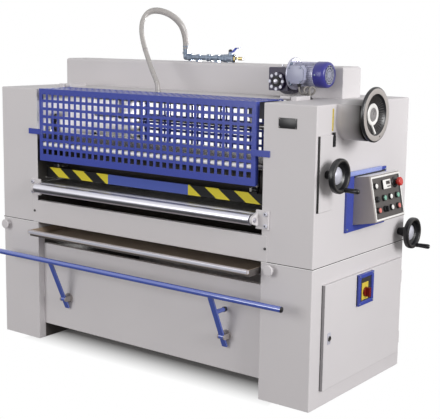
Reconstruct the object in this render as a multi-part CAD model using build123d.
from build123d import *
import math
import os

# Glue spreader with four driven rollers, for panels up to 1300 wide.
# X runs along the rollers, +Y is the outfeed side, +Z is up.
# The origin is on the floor, midway between the two pedestals.

# Overall sizes
MACHINE_W = 1940.0
MACHINE_D = 848.0
COLUMN_H = 1330.0
PEDESTAL_H = 634.0
COLUMN_W = 264.0

# Walls and clearances
SHEET = 3.0
SIDE_T = 20.0
BASE_T = 12.0
RUN_FIT = 0.05
SLIDE_FIT = 0.3
SIDE_GAP = 3.0
BEND_R = 5.0
EDGE_R = 2.0
OVERRUN = 1.0

# Rollers and their drive
PASS_Z = 846.0
NIP_GAP = 12.0
DOSE_GAP = 0.5
GLUE_ROLL_D = 200.0
DOCTOR_ROLL_D = 160.0
COVER_T = 10.0
ROLL_WALL = 14.0
ROLL_DISC = 30.0
ROLL_END_ROOM = 56.0
GLUE_JOURNAL_D = 50.0
DOCTOR_JOURNAL_D = 40.0
JOURNAL_BORE = 6.0
GEAR_MODULE = 5.0
GEAR_T = 25.0
GEAR_GAP = 6.0
GEAR_ADDENDUM = 0.8
GEAR_DEDENDUM = 1.1
TOOTH_ROOT_SHARE = 0.27
TOOTH_TIP_SHARE = 0.11
IDLE_ROLL_D = 50.0
IDLE_AXLE_D = 20.0
DRIVE_BOX = 120.0
DRIVE_LENGTH = 111.0
DRIVE_MOTOR_D = 96.0
DRIVE_MOTOR_L = 230.0

# Lift of the upper carriage
LIFT = 90.0
SLIDE_T = 30.0
LIFT_SCREW_D = 30.0
LIFT_SCREW_X = 104.0
LIFT_Y = -180.0
LIFT_SHAFT_D = 25.0
LIFT_GEAR_TEETH = 29
LIFT_GEAR_MODULE = 4.0
LIFT_GEAR_GAP = 0.5
LIFT_MOTOR_X = 534.0
LIFT_MOTOR_RISE = 74.0
ANGLE_BOX = 100.0

# Dosing of the glue film
DOSE_TRAVEL = 4.0
DOSE_SHAFT_D = 25.0
DOSE_ROD_D = 16.0
UPPER_DOSE_Y = -350.0
UPPER_DOSE_RISE = 78.0
LOWER_DOSE_Y = 370.0
LOWER_DOSE_DROP = 61.0
BLOCK = 70.0

# Handwheels
BIG_WHEEL_D = 236.0
BIG_WHEEL_REACH = 145.0
SMALL_WHEEL_D = 150.0
SMALL_WHEEL_REACH = 86.0
GRIP_D = 23.0
GRIP_L = 72.0

# Guards
GUARD_LEFT_ROOM = 20.0
GUARD_RIGHT_ROOM = 42.0
GUARD_Z0 = 962.0
GUARD_PITCH = 40.0
GUARD_HOLE = 26.0
GUARD_RETURN = 25.0
GUARD_MARGIN = 48.0
GUARD_TOP_MARGIN = 36.0
FRONT_HINGE_Y = -210.0
REAR_HINGE_Y = 245.0
HINGE_RISE = 9.0
HINGE_PIN_D = 10.0

# Safety bar in front of the nip
SAFETY_Y = -364.0
SAFETY_CLEAR = 28.0
SAFETY_H = 47.0
SAFETY_T = 12.0
SAFETY_END_ROOM = 14.0
SAFETY_HINGE_UP = 14.0

# Kick bar
KICK_TUBE_D = 27.0
KICK_END_ROOM = 77.5
KICK_SHIFT = -13.5
KICK_OUT = 96.0
KICK_Z = 466.0
KICK_ARM_X = 510.5
KICK_ARM_W = 27.0
KICK_ARM_T = 9.0
KICK_PIVOT_OUT = 36.0
KICK_PIVOT_Z = 248.0
KICK_TAIL = 56.0
KICK_STOP_Z = 375.0
KICK_STOP_GAP = 12.0

# Lower panels, aprons and drip tray
PANEL_RECESS = 40.0
PANEL_Z0 = 80.0
PANEL_Z1 = 516.0
APRON_H = 116.0
APRON_LAP = 31.0
TRAY_Z = 573.0
TRAY_H = 32.0
TRAY_OUT = 71.0
TRAY_WALL = 2.0
TRAY_SIDE_ROOM = 14.0
LEDGE = 30.0

# Top beam and glue line
BEAM_Y0 = 59.0
BEAM_Y1 = 225.0
BEAM_H = 145.0
BEAM_RIGHT = 105.0
LINE_Y = 140.0
LINE_RISE = 22.0
PIPE_D = 26.0
ELBOW_X = -174.0
VALVE_X = 112.0
HOSE_D = 28.0
HOSE_BORE = 20.0
MANIFOLD_Y = -95.0
MANIFOLD_Z = 1190.0

# Console on the right column
CONSOLE_Y0 = -107.0
CONSOLE_W = 282.0
CONSOLE_FACE_H = 207.0
CONSOLE_LEAN = 11.0
CONSOLE_TOP_REACH = 85.0
CONSOLE_TOP_Z = 1010.0
CONSOLE_BASE_Z0 = 783.0
CONSOLE_BASE_Z1 = 997.0
BUTTON_PITCH = 62.0
BUTTON_FIRST = 32.0
BUTTON_ROWS = (-47.0, -106.0, -155.0)
BUTTON_CAP_R = 11.0
BUTTON_STEM_R = 6.0
ESTOP_CAP_R = 20.0
ESTOP_STEM_R = 10.0

# Cabinet door in the right pedestal
DOOR_Y0 = -340.0
DOOR_Y1 = 388.0
DOOR_Z0 = 75.0
DOOR_Z1 = 552.0
DOOR_T = 16.0
DOOR_LAP = 15.0
DOOR_HINGE_X = 9.0
DOOR_HINGE_Y = 394.0
DOOR_PIN_D = 6.0
SWITCH_Y = 7.0
SWITCH_Z = 460.0
LOCK_Y = -297.0
LOCK_Z = 307.0

# Floor anchors
ANCHOR_D = 18.0
ANCHOR_Y = 330.0

# Derived planes and axes
HALF_W = MACHINE_W / 2
FRONT = -MACHINE_D / 2
BACK = MACHINE_D / 2
INNER = HALF_W - COLUMN_W
PLATE_OUT = INNER + SIDE_T
ROLL_HALF = INNER - ROLL_END_ROOM
SLIDE_IN = PLATE_OUT + SIDE_GAP
SLIDE_OUT = SLIDE_IN + SLIDE_T
GEAR_IN = SLIDE_OUT + GEAR_GAP
GEAR_OUT = GEAR_IN + GEAR_T
GLUE_R = GLUE_ROLL_D / 2
DOCTOR_R = DOCTOR_ROLL_D / 2
LOWER_Z = PASS_Z - GLUE_R
GLUE_TEETH = round(GLUE_ROLL_D / GEAR_MODULE)
GLUE_GEAR_TIP = (GLUE_TEETH / 2 + GEAR_ADDENDUM) * GEAR_MODULE
UPPER_Z = PASS_Z + NIP_GAP + GLUE_R
DOCTOR_Y = GLUE_R + DOCTOR_R + DOSE_GAP
UPPER_DOSE_Z = UPPER_Z + UPPER_DOSE_RISE
LOWER_DOSE_Z = LOWER_Z - LOWER_DOSE_DROP
LIFT_MOTOR_Z = COLUMN_H + LIFT_MOTOR_RISE
LIFT_SHAFT_Z = LIFT_MOTOR_Z - LIFT_GEAR_TEETH * LIFT_GEAR_MODULE - LIFT_GEAR_GAP
SCREW_X = INNER + LIFT_SCREW_X
ROOF = COLUMN_H - SHEET
GUARD_X0 = GUARD_LEFT_ROOM - INNER
GUARD_X1 = INNER - GUARD_RIGHT_ROOM
KICK_HALF = HALF_W - KICK_END_ROOM

os.makedirs("parts", exist_ok=True)


def block(x0, x1, y0, y1, z0, z1):
    """A box between two corners."""
    place = Pos((x0 + x1) / 2, (y0 + y1) / 2, (z0 + z1) / 2)
    return place * Box(abs(x1 - x0), abs(y1 - y0), abs(z1 - z0))


def rod_x(radius, x0, x1, y, z):
    return Pos((x0 + x1) / 2, y, z) * Rot(0, 90, 0) * Cylinder(radius, abs(x1 - x0))


def rod_y(radius, y0, y1, x, z):
    return Pos(x, (y0 + y1) / 2, z) * Rot(90, 0, 0) * Cylinder(radius, abs(y1 - y0))


def rod_z(radius, z0, z1, x, y):
    return Pos(x, y, (z0 + z1) / 2) * Cylinder(radius, abs(z1 - z0))


def slot_x(half, x0, x1, y, z0, z1):
    """A round-ended slot through X, standing upright."""
    ends = rod_x(half, x0, x1, y, z0) + rod_x(half, x0, x1, y, z1)
    return ends + block(x0, x1, y - half, y + half, z0, z1)


def turned(profile, y, z):
    """A solid of revolution about an X axis, from (x, radius) points."""
    outline = make_face(Polyline(*profile, close=True))
    return Pos(0, y, z) * revolve(outline, Axis.X)


def prism_y(points, y0, y1):
    """An XZ outline carried from y0 to y1."""
    outline = Plane.XZ * make_face(Polyline(*points, close=True))
    return Pos(0, y1, 0) * extrude(outline, y1 - y0)


def prism_x(points, x0, x1):
    """A YZ outline carried from x0 to x1."""
    outline = Plane.YZ * make_face(Polyline(*points, close=True))
    return Pos(x0, 0, 0) * extrude(outline, x1 - x0)


def left_of(piece):
    return mirror(piece, Plane.YZ)


def behind(piece):
    return mirror(piece, Plane.XZ)


def save(name, *pieces):
    """Write one node, as the separate solids it is made of."""
    solids = [solid for piece in pieces for solid in piece.solids()]
    export_step(Compound(solids), f"parts/{name}.step")


def spur_gear(teeth, module, thickness, bore, first_tooth):
    """A spur gear about Z with one tooth centred on first_tooth degrees."""
    pitch_r = teeth * module / 2
    tip_r = pitch_r + GEAR_ADDENDUM * module
    root_r = pitch_r - GEAR_DEDENDUM * module
    rising = ((root_r, -TOOTH_ROOT_SHARE), (tip_r, -TOOTH_TIP_SHARE))
    falling = ((tip_r, TOOTH_TIP_SHARE), (root_r, TOOTH_ROOT_SHARE))
    step = 360 / teeth
    points = []
    for tooth in range(teeth):
        middle = first_tooth + tooth * step
        for radius, share in rising + falling:
            angle = math.radians(middle + share * step)
            points.append((radius * math.cos(angle), radius * math.sin(angle)))
    outline = make_face(Polyline(*points, close=True)) - Circle(bore)
    return extrude(outline, thickness)


def gear_on_x(gear, x0, y, z):
    """Turn a gear about Z to one about X, its angles counted from +Y to +Z."""
    return Plane(origin=(x0, y, z), x_dir=(0, 1, 0), z_dir=(1, 0, 0)).location * gear


def gear_on_y(gear, x, y0, z):
    """Turn a gear about Z to one about Y, its angles counted from +X to -Z."""
    return Plane(origin=(x, y0, z), x_dir=(1, 0, 0), z_dir=(0, 1, 0)).location * gear


# Pedestals: sheet boxes on a drilled base plate, with ledges for the drip tray
LEDGE_Z1 = TRAY_Z - SLIDE_FIT
ANCHOR_X = HALF_W - COLUMN_W / 2
DOOR_OPEN_Y0 = DOOR_Y0 + DOOR_LAP
DOOR_OPEN_Y1 = DOOR_Y1 - DOOR_LAP
DOOR_OPEN_Z0 = DOOR_Z0 + DOOR_LAP
DOOR_OPEN_Z1 = DOOR_Z1 - DOOR_LAP
PEDESTAL_TOP_T = 10.0
LEDGE_T = 5.0
LEDGE_BACK = 20.0
GLAND_HOLE_R = 12.5
GLAND_Z = 120.0


def pedestal():
    shell = block(INNER, HALF_W, FRONT, BACK, 0, PEDESTAL_H)
    shell = fillet(shell.edges().filter_by(Axis.Z).group_by(Axis.X)[-1], BEND_R)
    shell = fillet(shell.faces().sort_by(Axis.Z)[-1].edges(), EDGE_R)
    shell -= block(
        INNER + SHEET,
        HALF_W - SHEET,
        FRONT + SHEET,
        BACK - SHEET,
        BASE_T,
        PEDESTAL_H - PEDESTAL_TOP_T,
    )
    for y in (-ANCHOR_Y, ANCHOR_Y):
        shell -= rod_z(ANCHOR_D / 2, -OVERRUN, BASE_T + OVERRUN, ANCHOR_X, y)
    reach = (FRONT + LEDGE_BACK, BACK - LEDGE_BACK)
    shell += block(INNER - LEDGE, INNER, *reach, LEDGE_Z1 - LEDGE_T, LEDGE_Z1)
    return shell + block(INNER - LEDGE_T, INNER, *reach, LEDGE_Z1 - LEDGE, LEDGE_Z1 - LEDGE_T)


DOOR_AXIS_X = HALF_W + DOOR_HINGE_X
DOOR_KNUCKLE_R = 6.0
DOOR_KNUCKLE_L = 40.0
DOOR_KNUCKLES_Z = (DOOR_Z0 + 65.0, DOOR_Z1 - 105.0)
HINGE_FOOT = 20.0


def right_pedestal():
    shell = pedestal()
    shell -= block(
        HALF_W - 2 * SHEET, HALF_W + OVERRUN, DOOR_OPEN_Y0, DOOR_OPEN_Y1, DOOR_OPEN_Z0, DOOR_OPEN_Z1
    )
    shell -= rod_y(GLAND_HOLE_R, BACK - 2 * SHEET, BACK + OVERRUN, ANCHOR_X, GLAND_Z)
    shell -= rod_x(GLUE_GEAR_TIP + GEAR_GAP, GEAR_IN - GEAR_GAP, GEAR_OUT + GEAR_GAP, 0, LOWER_Z)
    for z in DOOR_KNUCKLES_Z:
        foot = block(
            HALF_W,
            DOOR_AXIS_X,
            DOOR_HINGE_Y - DOOR_PIN_D / 2,
            DOOR_HINGE_Y + DOOR_PIN_D / 2,
            z - HINGE_FOOT,
            z - SLIDE_FIT,
        )
        foot += rod_z(DOOR_KNUCKLE_R, z - HINGE_FOOT, z - SLIDE_FIT, DOOR_AXIS_X, DOOR_HINGE_Y)
        foot += rod_z(DOOR_PIN_D / 2, z - HINGE_FOOT, z + DOOR_KNUCKLE_L, DOOR_AXIS_X, DOOR_HINGE_Y)
        shell += foot
    return shell


save("left_pedestal", left_of(pedestal()))
save("right_pedestal", right_pedestal())

# Upper housings: sheet covers over the frame plates and the drive
SLEEVE_R = 22.0
SLEEVE_ROOM = 2.0
SHAFT_ROOM = 3.5


def housing():
    shell = block(INNER, HALF_W, FRONT, BACK, PEDESTAL_H, COLUMN_H)
    bends = shell.edges().filter_by(Axis.Z).group_by(Axis.X)[-1]
    bends += shell.edges().group_by(Axis.Z)[-1].sort_by(Axis.X)[1:]
    shell = fillet(bends, BEND_R)
    shell -= block(INNER - OVERRUN, HALF_W - SHEET, FRONT + SHEET, BACK - SHEET, PEDESTAL_H - OVERRUN, ROOF)
    return shell


def right_housing():
    shell = housing()
    wall = (HALF_W - 2 * SHEET, HALF_W + OVERRUN)
    shell -= slot_x(SLEEVE_R + SLEEVE_ROOM, *wall, UPPER_DOSE_Y, UPPER_DOSE_Z, UPPER_DOSE_Z + LIFT)
    shell -= rod_x(LIFT_SHAFT_D / 2 + SHAFT_ROOM, *wall, LIFT_Y, LIFT_SHAFT_Z)
    shell -= rod_x(DOSE_SHAFT_D / 2 + SHAFT_ROOM, *wall, LOWER_DOSE_Y, LOWER_DOSE_Z)
    return shell


save("left_housing", left_of(housing()))
save("right_housing", right_housing())

# Side frames: thick plates that carry the rollers, with gibs for the lift slides
SLIDE_Y0 = UPPER_DOSE_Y - 30.0
SLIDE_Y1 = GLUE_JOURNAL_D / 2 + 45.0
SLIDE_Z0 = UPPER_Z - 75.0
SLIDE_Z1 = UPPER_DOSE_Z + 69.0
GIB_W = 17.0
GIB_FOOT = 50.0
CROSS_Y0 = UPPER_DOSE_Y + DOSE_SHAFT_D / 2 + 15.5
CROSS_Y1 = CROSS_Y0 + 60.0
CROSS_Z1 = SLIDE_Z1 - 5.0
CROSS_Z0 = CROSS_Z1 - 50.0
CROSS_ROOM = 5.0
BLOCK_HALF = BLOCK / 2
LOWER_RAIL_Y0 = DOCTOR_Y - BLOCK_HALF - 36.0
JACK_Y0 = LOWER_DOSE_Y - 35.0
JACK_Y1 = LOWER_DOSE_Y + 35.0
JACK_OUT = SLIDE_OUT + 16.0
JACK_DROP = 25.0
ROD_END = 10.0
RAIL_T = 15.0
ROD_X = (SLIDE_IN + SLIDE_OUT) / 2


def side_frame():
    plate = block(INNER, PLATE_OUT, FRONT + SHEET, BACK - SHEET, PEDESTAL_H, ROOF)
    through = (INNER - OVERRUN, PLATE_OUT + OVERRUN)
    glue_slot = GLUE_JOURNAL_D / 2 + SHAFT_ROOM
    doctor_slot = DOCTOR_JOURNAL_D / 2 + DOSE_TRAVEL + SHAFT_ROOM
    dose_slot = DOSE_SHAFT_D / 2 + SHAFT_ROOM
    plate -= slot_x(glue_slot, *through, 0, UPPER_Z, UPPER_Z + LIFT)
    plate -= slot_x(doctor_slot, *through, -DOCTOR_Y, UPPER_Z, UPPER_Z + LIFT)
    plate -= slot_x(dose_slot, *through, UPPER_DOSE_Y, UPPER_DOSE_Z, UPPER_DOSE_Z + LIFT)
    plate -= block(
        *through,
        CROSS_Y0 - CROSS_ROOM,
        CROSS_Y1 + CROSS_ROOM,
        CROSS_Z0 - CROSS_ROOM,
        CROSS_Z1 + LIFT + CROSS_ROOM,
    )
    plate -= rod_x(glue_slot, *through, 0, LOWER_Z)
    plate -= rod_x(doctor_slot, *through, DOCTOR_Y, LOWER_Z)
    plate -= rod_x(LIFT_SHAFT_D / 2 + SHAFT_ROOM, *through, LIFT_Y, LIFT_SHAFT_Z)
    for y0 in (SLIDE_Y0 - SLIDE_FIT - GIB_W, SLIDE_Y1 + SLIDE_FIT):
        plate += block(
            PLATE_OUT,
            SLIDE_OUT + GEAR_GAP,
            y0,
            y0 + GIB_W,
            SLIDE_Z0 - GIB_FOOT,
            SLIDE_Z1 + LIFT + CROSS_ROOM,
        )
    for z0 in (LOWER_Z - BLOCK_HALF - SLIDE_FIT - RAIL_T, LOWER_Z + BLOCK_HALF + SLIDE_FIT):
        plate += block(PLATE_OUT, SLIDE_OUT, LOWER_RAIL_Y0, JACK_Y0, z0, z0 + RAIL_T)
    plate += block(
        PLATE_OUT,
        JACK_OUT,
        JACK_Y0,
        JACK_Y1,
        LOWER_DOSE_Z - JACK_DROP,
        LOWER_Z + BLOCK_HALF + RAIL_T,
    )
    plate -= rod_y(DOSE_ROD_D / 2 + RUN_FIT, JACK_Y0 - OVERRUN, JACK_Y1 - ROD_END, ROD_X, LOWER_Z)
    dose_bore = DOSE_SHAFT_D / 2 + RUN_FIT
    return plate - rod_x(dose_bore, INNER - OVERRUN, JACK_OUT + OVERRUN, LOWER_DOSE_Y, LOWER_DOSE_Z)


save("side_frames", side_frame(), left_of(side_frame()))

# Covers between the columns: aprons and recessed lower panels, front and rear
APRON_Z1 = PEDESTAL_H + APRON_H
APRON_BEND = 24.0
SEAM = 1.0


def apron():
    half = INNER + APRON_LAP
    sheet = block(-half, half, FRONT - SHEET, FRONT, PEDESTAL_H, APRON_Z1)
    bend = INNER - SEAM
    return sheet + block(-bend, bend, FRONT - SHEET, FRONT + APRON_BEND, APRON_Z1 - SHEET, APRON_Z1)


def lower_panel():
    face = FRONT + PANEL_RECESS
    sheet = block(-INNER, INNER, face, face + SHEET, PANEL_Z0, PANEL_Z1)
    for z0 in (PANEL_Z0, PANEL_Z1 - SHEET):
        sheet += block(-INNER, INNER, face, face + APRON_BEND, z0, z0 + SHEET)
    return sheet


save("cover_panels", apron(), behind(apron()), lower_panel(), behind(lower_panel()))

# Feed plates: stainless strips that carry a panel from the idle rollers to the nip
FEED_DROP = 2.0
FEED_EDGE = 12.0
FEED_LIP = 19.0
FEED_END_ROOM = 31.0
FEED_NEAR = GLUE_R + 30.0
FEED_Z1 = PASS_Z - FEED_DROP


def feed_plate():
    edge = FRONT - FEED_EDGE
    lip = INNER - FEED_END_ROOM
    plate = block(-INNER, INNER, FRONT + SEAM, -FEED_NEAR, FEED_Z1 - SHEET, FEED_Z1)
    plate += block(-lip, lip, edge, FRONT + SEAM, FEED_Z1 - SHEET, FEED_Z1)
    return plate + block(-lip, lip, edge, edge + SHEET, FEED_Z1 - FEED_LIP, FEED_Z1 - SHEET)


save("feed_plates", feed_plate(), behind(feed_plate()))

# Top beam: a closed sheet box over the columns, with the cover plate in front of it
BEAM_Z1 = COLUMN_H + BEAM_H
COVER_Y0 = FRONT_HINGE_Y + 15.0
BEAM_BEND_R = 12.0
GEAR_Y0 = BEAM_Y0 + 36.0
LIFT_GEAR_T = 30.0
GEAR_ROOM = 8.0
LIFT_TIP_R = (LIFT_GEAR_TEETH / 2 + GEAR_ADDENDUM) * LIFT_GEAR_MODULE
SPIGOT_X = -100.0
SPIGOT_Y = -176.0
SPIGOT_R = 10.0


def gear_window(z0, z1):
    return block(
        LIFT_MOTOR_X - LIFT_TIP_R - GEAR_ROOM,
        LIFT_MOTOR_X + LIFT_TIP_R + GEAR_ROOM,
        GEAR_Y0 - GEAR_ROOM,
        GEAR_Y0 + LIFT_GEAR_T + GEAR_ROOM,
        z0,
        z1,
    )


def top_beam():
    right = INNER + BEAM_RIGHT
    shell = block(-HALF_W, right, BEAM_Y0, BEAM_Y1, COLUMN_H, BEAM_Z1)
    shell = fillet(shell.edges().group_by(Axis.Z)[-1], BEAM_BEND_R)
    inner = block(
        -HALF_W + SHEET,
        right - SHEET,
        BEAM_Y0 + SHEET,
        BEAM_Y1 - SHEET,
        COLUMN_H + SHEET,
        BEAM_Z1 - SHEET,
    )
    shell -= fillet(inner.edges().group_by(Axis.Z)[-1], BEAM_BEND_R - SHEET)
    shell -= gear_window(COLUMN_H - OVERRUN, COLUMN_H + 2 * SHEET)
    shaft_room = LIFT_SHAFT_D / 2 + SHAFT_ROOM
    return shell - rod_y(shaft_room, BEAM_Y0 - OVERRUN, BEAM_Y0 + 2 * SHEET, LIFT_MOTOR_X, LIFT_MOTOR_Z)


def top_cover():
    plate = block(-INNER, INNER, COVER_Y0, BEAM_Y1, ROOF, COLUMN_H)
    plate -= gear_window(ROOF - OVERRUN, COLUMN_H + OVERRUN)
    return plate - rod_z(SPIGOT_R + RUN_FIT, ROOF - OVERRUN, COLUMN_H + OVERRUN, SPIGOT_X, SPIGOT_Y)


save("top_beam", top_beam(), top_cover())

# Lift gearbox and motor on the front of the beam
GEARBOX_W = 104.0
GEARBOX_D = 78.0
GEARBOX_UP = 65.0
GEARBOX_DOWN = 44.0
GEARBOX_CORNER_R = 6.0
NECK_R = 64.0
MOTOR_OUT = 79.0
COVER_R = 42.0
COVER_DEPTH = 14.0
MOTOR_UP = 36.0
MOTOR_FLANGE_R = 75.0
MOTOR_FLANGE_T = 12.0
MOTOR_R = 57.0
MOTOR_BODY_L = 132.0
FAN_R = 60.0
FAN_L = 58.0
MOTOR_Y = BEAM_Y0 - MOTOR_OUT
GEARBOX_Y0 = MOTOR_Y - GEARBOX_D / 2
MOTOR_Z = LIFT_MOTOR_Z + MOTOR_UP
MOTOR_X0 = LIFT_MOTOR_X + GEARBOX_W / 2
MOTOR_BODY_X0 = MOTOR_X0 + MOTOR_FLANGE_T
MOTOR_BODY_X1 = MOTOR_BODY_X0 + MOTOR_BODY_L
TERMINAL_W = 84.0
TERMINAL_D = 42.0
TERMINAL_CORNER = 20.0
TERMINAL_X = MOTOR_BODY_X0 + 56.0
TERMINAL_Y0 = MOTOR_Y - MOTOR_R - TERMINAL_D + 12.0
MOTOR_GLAND_R = 9.0
MOTOR_GLAND_L = 14.0
MOTOR_GLAND_X = TERMINAL_X + 12.0


def lift_gearbox():
    back = GEARBOX_Y0 + GEARBOX_D
    half = GEARBOX_W / 2
    height = (LIFT_MOTOR_Z - GEARBOX_DOWN, LIFT_MOTOR_Z + GEARBOX_UP)
    body = block(LIFT_MOTOR_X - half, MOTOR_X0, GEARBOX_Y0, back, *height)
    body = fillet(body.edges().filter_by(Axis.Y), GEARBOX_CORNER_R)
    neck = rod_y(NECK_R, back - OVERRUN, BEAM_Y0, LIFT_MOTOR_X, LIFT_MOTOR_Z)
    low = LIFT_MOTOR_Z - NECK_R
    neck -= block(MOTOR_X0, MOTOR_X0 + NECK_R, back - 2 * OVERRUN, BEAM_Y0 + OVERRUN, low, low + 2 * NECK_R)
    body += neck
    body += rod_y(COVER_R, GEARBOX_Y0 - COVER_DEPTH, GEARBOX_Y0, LIFT_MOTOR_X, LIFT_MOTOR_Z)
    bore = LIFT_SHAFT_D / 2 + RUN_FIT
    return body - rod_y(bore, GEARBOX_Y0, BEAM_Y0 + OVERRUN, LIFT_MOTOR_X, LIFT_MOTOR_Z)


def octagon(x, z, width, corner):
    half = width / 2
    inner = half - corner
    signs = ((-inner, -half), (inner, -half), (half, -inner), (half, inner))
    points = [(x + a, z + b) for a, b in signs]
    return points + [(x - a, z - b) for a, b in signs]


def motor_body():
    body = rod_x(MOTOR_FLANGE_R, MOTOR_X0, MOTOR_BODY_X0, MOTOR_Y, MOTOR_Z)
    body += rod_x(MOTOR_R, MOTOR_BODY_X0, MOTOR_BODY_X1, MOTOR_Y, MOTOR_Z)
    box = octagon(TERMINAL_X, MOTOR_Z, TERMINAL_W, TERMINAL_CORNER)
    body += prism_y(box, TERMINAL_Y0, MOTOR_Y)
    bottom = MOTOR_Z - TERMINAL_W / 2
    gland_y = TERMINAL_Y0 + TERMINAL_D / 2
    body += rod_z(MOTOR_GLAND_R, bottom - MOTOR_GLAND_L, bottom + OVERRUN, MOTOR_GLAND_X, gland_y)
    return body


def motor_fan_cover():
    return rod_x(FAN_R, MOTOR_BODY_X1, MOTOR_BODY_X1 + FAN_L, MOTOR_Y, MOTOR_Z)


save("lift_gearbox", lift_gearbox())
save("lift_motor", motor_body(), motor_fan_cover())

# Motor lead: two small loops between the motor's gland and the top of the right column
LEAD_D = 9.0
LEAD_LOOP_R = 18.0
LEAD_LOOPS = 2
LEAD_PITCH = 28.0
LEAD_FACING = math.radians(37.0)
LEAD_Y = TERMINAL_Y0 + TERMINAL_D / 2
LEAD_START = Vector(MOTOR_GLAND_X, LEAD_Y, MOTOR_Z - TERMINAL_W / 2 - MOTOR_GLAND_L)
LEAD_END = Vector(LEAD_START.X + LEAD_LOOPS * LEAD_PITCH + 3.0, LEAD_START.Y, COLUMN_H + 12.0)


def lead_stations():
    """Points and directions along the lead, one each quarter turn of its loops."""
    top = LEAD_START.Z - LEAD_D
    sideways = Vector(math.cos(LEAD_FACING), math.sin(LEAD_FACING), 0)
    centre = Vector(LEAD_START.X, LEAD_START.Y, top - 8.0) + sideways * LEAD_LOOP_R
    stations = [(LEAD_START, Vector(0, 0, -1)), (LEAD_START - Vector(0, 0, LEAD_D), Vector(0, 0, -1))]
    for quarter in range(1, 4 * LEAD_LOOPS + 1):
        turn = quarter * math.pi / 2
        ahead = LEAD_PITCH * quarter / 4
        out = LEAD_LOOP_R * math.cos(turn)
        down = LEAD_LOOP_R * math.sin(turn)
        across = Vector(ahead, 0, -down) - sideways * out
        lead = LEAD_PITCH / (2 * math.pi)
        along = Vector(lead, 0, -out) + sideways * down
        stations.append((centre + across, along.normalized()))
    stations.append((LEAD_END + Vector(0, 0, LEAD_D), Vector(0, 0, -1)))
    stations.append((LEAD_END, Vector(0, 0, -1)))
    return stations


def biarc(start, start_dir, end, end_dir):
    """Two arcs that leave and arrive along the given directions."""
    chord = end - start
    total = start_dir + end_dir
    spread = 2 * (1 - start_dir.dot(end_dir))
    if spread < 1e-9:
        if chord.cross(start_dir).length < 1e-6:
            return [Edge.make_line(start, end)]
        reach = chord.dot(chord) / (4 * chord.dot(end_dir))
    else:
        mixed = chord.dot(total)
        reach = (-mixed + math.sqrt(mixed * mixed + spread * chord.dot(chord))) / spread
    middle = (start + end + (start_dir - end_dir) * reach) * 0.5
    first = Edge.make_tangent_arc(start, start_dir, middle)
    return [first, Edge.make_tangent_arc(middle, first % 1, end)]


def lead_path():
    edges = []
    stations = lead_stations()
    for (start, start_dir), (end, end_dir) in zip(stations, stations[1:]):
        edges += biarc(start, start_dir, end, end_dir)
    return Wire(edges)


def self_gap(path, diameter):
    """Least distance between stretches of a tube that lie over three diameters apart along it."""
    count = 400
    points = [path @ (i / count) for i in range(count + 1)]
    away = int(3 * diameter / path.length * count)
    pairs = ((a, b) for a in range(count + 1) for b in range(a + away, count + 1))
    return min((points[a] - points[b]).length for a, b in pairs) - diameter


LEAD_PATH = lead_path()
print("motor lead length", round(LEAD_PATH.length, 1), "self gap", round(self_gap(LEAD_PATH, LEAD_D), 2))


def motor_lead():
    start = Plane(origin=LEAD_PATH @ 0, z_dir=LEAD_PATH % 0)
    return sweep(start * Circle(LEAD_D / 2), path=LEAD_PATH)


def lead_gland():
    gland = rod_z(MOTOR_GLAND_R, COLUMN_H, LEAD_END.Z, LEAD_END.X, LEAD_END.Y)
    return gland + rod_z(MOTOR_GLAND_R + 4.0, COLUMN_H, COLUMN_H + 4.0, LEAD_END.X, LEAD_END.Y)


save("motor_cable", motor_lead())

# Glue line along the top of the beam, from the inlet tail to the hose tail
LINE_Z = BEAM_Z1 + LINE_RISE
PIPE_R = PIPE_D / 2
COUPLING_R = 15.0
COUPLING_L = 34.0
TAIL_R = HOSE_BORE / 2 - SLIDE_FIT
TAIL_L = 18.0
ELBOW_UP = 43.0
HOSE_START_Z = LINE_Z + ELBOW_UP
VALVE_R = 18.0
VALVE_L = 52.0
INLET_R = 8.0
INLET_L = 42.0
CLAMPS_X = (-90.0, 30.0)
CLAMP_W = 20.0
CLAMP_T = 4.0
VALVE_X0 = VALVE_X - VALVE_L / 2
VALVE_X1 = VALVE_X + VALVE_L / 2
STEM_R = 5.0
STEM_UP = 38.0
BONNET_UP = 12.0


def supply_pipe():
    pipe = rod_x(PIPE_R, ELBOW_X, VALVE_X0, LINE_Y, LINE_Z)
    pipe += Pos(ELBOW_X, LINE_Y, LINE_Z) * Sphere(COUPLING_R)
    pipe += rod_z(COUPLING_R, LINE_Z, HOSE_START_Z, ELBOW_X, LINE_Y)
    pipe += rod_z(TAIL_R, LINE_Z, HOSE_START_Z + TAIL_L, ELBOW_X, LINE_Y)
    for x in (ELBOW_X + COUPLING_L / 2, -20.0, VALVE_X0 - COUPLING_L / 2):
        pipe += rod_x(COUPLING_R, x - COUPLING_L / 2, x + COUPLING_L / 2, LINE_Y, LINE_Z)
    return pipe


def pipe_clamp(x):
    strap = rod_x(PIPE_R + CLAMP_T, x - CLAMP_W / 2, x + CLAMP_W / 2, LINE_Y, LINE_Z)
    strap += block(x - CLAMP_W / 2, x + CLAMP_W / 2, LINE_Y - PIPE_R, LINE_Y + PIPE_R, BEAM_Z1, LINE_Z)
    return strap - rod_x(PIPE_R + RUN_FIT, x - CLAMP_W, x + CLAMP_W, LINE_Y, LINE_Z)


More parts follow.
